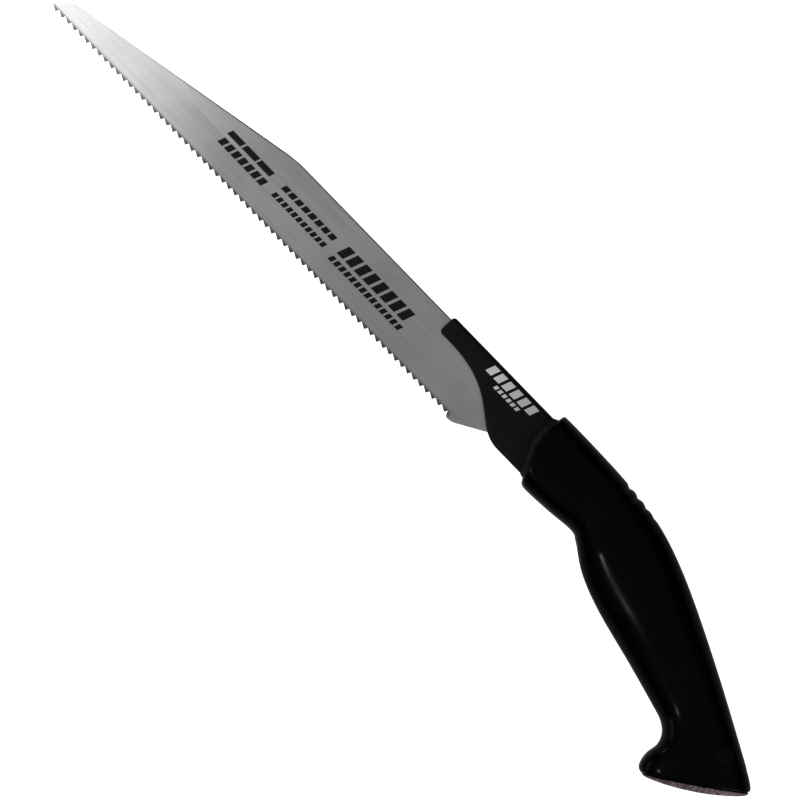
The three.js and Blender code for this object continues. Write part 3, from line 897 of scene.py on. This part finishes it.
def ring(share, inset, angles, scale=1.0, relief=False):
    """One section of the handle as points, drawn in by the inset and shrunk by the scale."""
    top, bottom = top_edge.point(share), bottom_edge.point(share)
    span = np.linalg.norm(top - bottom)
    across = (top - bottom) / span
    back = np.array((across[1], -across[0]))
    half, square = smooth_between(share, SWELL)
    c, s = np.cos(angles), np.sin(angles)
    up = np.sign(s) * np.abs(s) ** (2 / square)
    side = np.sign(c) * np.abs(c) ** (2 / square)
    height, width = span / 2 - inset, half - inset
    if relief:
        height = height - thumb_relief(share, s) * (s > 0)
        seam = np.maximum(0, 1 - np.abs(np.abs(s) - 1) / (1 - math.cos(2 * SEAM_ANGLE)))
        height = height + SEAM_HEIGHT * seam
    y, z = height * up * scale, width * side * scale
    flat = (top + bottom)[None, :] / 2 + y[:, None] * across + bow(share, 2 * y / span)[:, None] * back
    return np.column_stack([flat, z])


def end_rings(share, inset, angles, scales):
    """Rings across an end of the handle, which shrink to a small face in its middle."""
    return [ring(share, inset, angles, scale) for scale in scales]


def core_body(name, start, end, inset, rings=70, columns=72):
    """The handle's shape inside the cover, for the core and for what is cut out of it."""
    angles = ring_angles(columns)
    scales = (0.02, 0.35, 0.7, 0.9)
    shares = np.linspace(start, end, rings)
    eased = inset + CORE_EASE
    stack = end_rings(start, eased, angles, scales) + [ring(start, eased, angles)]
    stack += [ring(share, inset, angles) for share in shares[1:-1]]
    stack += [ring(end, eased, angles)] + end_rings(end, eased, angles, scales[::-1])
    return closed_tube(name, len(stack), np.vstack(stack))


def lip(share, towards, inset_out, inset_in, angles, steps=8):
    """Rings that round the cover's end over from its outer to its inner face."""
    half = (inset_in - inset_out) / 2
    reach = half / top_edge.length
    rings = []
    for i in range(1, steps):
        a = math.pi * i / steps
        station = share - towards * reach * (1 - math.sin(a))
        rings.append(ring(station, inset_out + half * (1 - math.cos(a)), angles))
    return rings


def make_cover():
    """The cover: a tube with rounded lips, thumb grooves, mould seams and a window on each side."""
    angles = ring_angles(120, seams=True)
    reach = COVER_LIP / top_edge.length
    even = np.linspace(reach, COVER_END - reach, 150)
    first, last = top_edge.share_at_x(GROOVE_X[0] - 3), top_edge.share_at_x(GROOVE_X[-1] + 3)
    outer = np.array(sorted(set(np.round(np.concatenate([even, np.linspace(first, last, 50)]), 6))))
    rings = [ring(share, 0.0, angles, relief=True) for share in outer]
    rings += lip(COVER_END, 1, 0.0, COVER_WALL, angles)
    rings += [ring(share, COVER_WALL, angles) for share in np.linspace(COVER_END - reach, reach, 60)]
    rings += lip(0.0, -1, 0.0, COVER_WALL, angles)[::-1]
    cover = new_mesh("grip_skin", np.vstack(rings), tube_faces(len(rings), len(angles), close_rows=True))
    face_outwards(cover)
    cut(cover, prism("window_cutter", circle(*WINDOW, WINDOW_RADIUS, 64), -THROUGH, THROUGH))
    finish_piece(cover, "handle", grip_rubber(), ["grip_cover"], 50)


# ---------------------------------------------------------------- core, cap and screw


def holder_pocket():
    """The room for the holder's tang in the core."""
    bottom, top, end = HOLDER_TANG
    half = SLOT_HALF + SHEET + GAP
    outline = [
        (POCKET_START, HOLDER_BOTTOM - GAP), (SHOULDER[0] + GAP, HOLDER_BOTTOM - GAP),
        (SHOULDER[0] + SHOULDER_RUN + GAP, bottom - GAP), (end + GAP, bottom - GAP), (end + GAP, top + GAP),
        (SHOULDER[1] + SHOULDER_RUN + GAP, top + GAP), (SHOULDER[1] + GAP, HOLDER_TOP + GAP),
        (POCKET_START, HOLDER_TOP + GAP),
    ]
    return prism("pocket", outline, -half, half)


def make_core_half(name, side, node, material):
    inset = COVER_WALL + GAP
    core = core_body(name, RIM, COVER_END, inset)
    low, high = sorted((side * GAP / 2, side * CORE_THROUGH))
    cut(core, block("half", (*HALF_SPACE[0], low), (*HALF_SPACE[1], high)), "INTERSECT")
    cut(core, holder_pocket())
    cut(core, core_body("hollow", *HOLLOW, inset + CORE_WALL, 40, 48))
    holes = [prism("hole", circle(x, PIN_Y, PIN_HOLE), -CORE_THROUGH, CORE_THROUGH) for x in PIN_X]
    cut(core, join("pin_cutter", holes))
    low, high = sorted((side * BOSS_START, side * CORE_THROUGH))
    boss = prism("boss", circle(*WINDOW, WINDOW_RADIUS - GAP, 64), low, high)
    cut(boss, core_body("skin", BOSS_SKIN_START, COVER_END, BOSS_SINK), "INTERSECT")
    cut(core, boss, "UNION")
    cut(core, screw_body("screw_cutter", GAP))
    finish_piece(core, "handle", material, [node], 35)


def butt_frame():
    """The middle of the butt and its outward direction."""
    top, bottom = top_edge.point(1.0), bottom_edge.point(1.0)
    across = (top - bottom) / np.linalg.norm(top - bottom)
    back = np.array((across[1], -across[0]))
    return (top + bottom) / 2 + back * (BUTT_BOW - SCREW_SINK), back, across


def screw_body(name, clearance, columns=40):
    """The countersunk screw of the butt, or with a clearance, the hole for it."""
    seat, back, across = butt_frame()
    head, depth = SCREW_HEAD
    shank = SCREW_SHANK + clearance
    end = -SCREW_LENGTH - clearance
    profile = [(0.0, end), (SCREW_POINT + clearance, end)]
    profile += [(shank, end + 2), (shank, -depth - clearance / 2), (head + clearance, -clearance / 2)]
    if clearance:
        profile += [(head + clearance, 8.0), (0.0, 8.0)]
    else:
        profile += [(head * 0.92, 0.25), (head * 0.6, 0.42), (0.0, 0.5)]
    points = []
    for radius, height in profile:
        for i in range(columns):
            a = 2 * math.pi * i / columns
            r = max(radius, 0.02)
            flat = seat + back * height + across * r * math.cos(a)
            points.append((*flat, r * math.sin(a)))
    return closed_tube(name, len(profile), points)


def cross_recess():
    """Two crossed bars that cut the driver recess."""
    seat, back, across = butt_frame()
    bars = []
    for turn in (0.0, math.pi / 2):
        points = []
        for height, reach, thick in RECESS:
            for u, v in ((-reach, -thick), (reach, -thick), (reach, thick), (-reach, thick)):
                a = u * math.cos(turn) - v * math.sin(turn)
                b = u * math.sin(turn) + v * math.cos(turn)
                points.append((*(seat + back * height + across * a), b))
        bar = new_mesh("bar", points, BOX_FACES)
        face_outwards(bar)
        bars.append(bar)
    return bars


def make_butt_screw(material):
    screw = screw_body("butt_end_screw", 0.0)
    for bar in cross_recess():
        cut(screw, bar)
    finish_piece(screw, "handle", material, ["butt_screw"], 30)


def make_butt_cap(material):
    angles = ring_angles(120)
    scales = (0.02, 0.3, 0.6, 0.85)
    rings = end_rings(CAP_START, CAP_EASE, angles, scales) + [ring(CAP_START, CAP_EASE, angles)]
    rings += [ring(CAP_START + i * CAP_STEP, 0.0, angles) for i in (1, 2)]
    for a in np.linspace(0, math.pi / 2, 9)[1:]:
        share = 1 - CAP_ROUNDING * (1 - math.sin(a)) / top_edge.length
        rings.append(ring(share, CAP_ROUNDING * (1 - math.cos(a)), angles))
    rings += end_rings(1.0, CAP_ROUNDING, angles, (0.95, 0.85, 0.7, 0.55, 0.4, 0.25, 0.12, 0.02))
    cap = closed_tube("butt_end", len(rings), np.vstack(rings))
    cut(cap, screw_body("screw_cutter", GAP))
    finish_piece(cap, "handle", material, ["butt_cap"], 40)


def finish_inner_nodes(material):
    """Gives the pins and the packing, which keep their CAD shape, their material."""
    for name in ("hook_pin", "tang_packing", "tang_pin_front", "tang_pin_rear"):
        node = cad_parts[name]
        node.data.materials.clear()
        node.data.materials.append(material)


scene.view_settings.view_transform = "Standard"
scene.view_settings.gamma = CONTRAST
make_camera()
make_world()
for light in LIGHTS:
    area_light(*light)
make_floor(floor_paper())

plastic = core_plastic("speckled core plastic", CORE_TONE, 1.0)
zinc = zinc_plate()
make_blade()
make_holder()
make_cover()
make_core_half("core_shell_left", 1, "core_left", plastic)
make_core_half("core_shell_right", -1, "core_right", plastic)
# The cap's lighter tone is painted light on the butt's edge.
make_butt_cap(core_plastic("speckled cap plastic", CAP_PAINTED_LIGHT_TONE, 0.0))
make_butt_screw(zinc)
finish_inner_nodes(zinc)
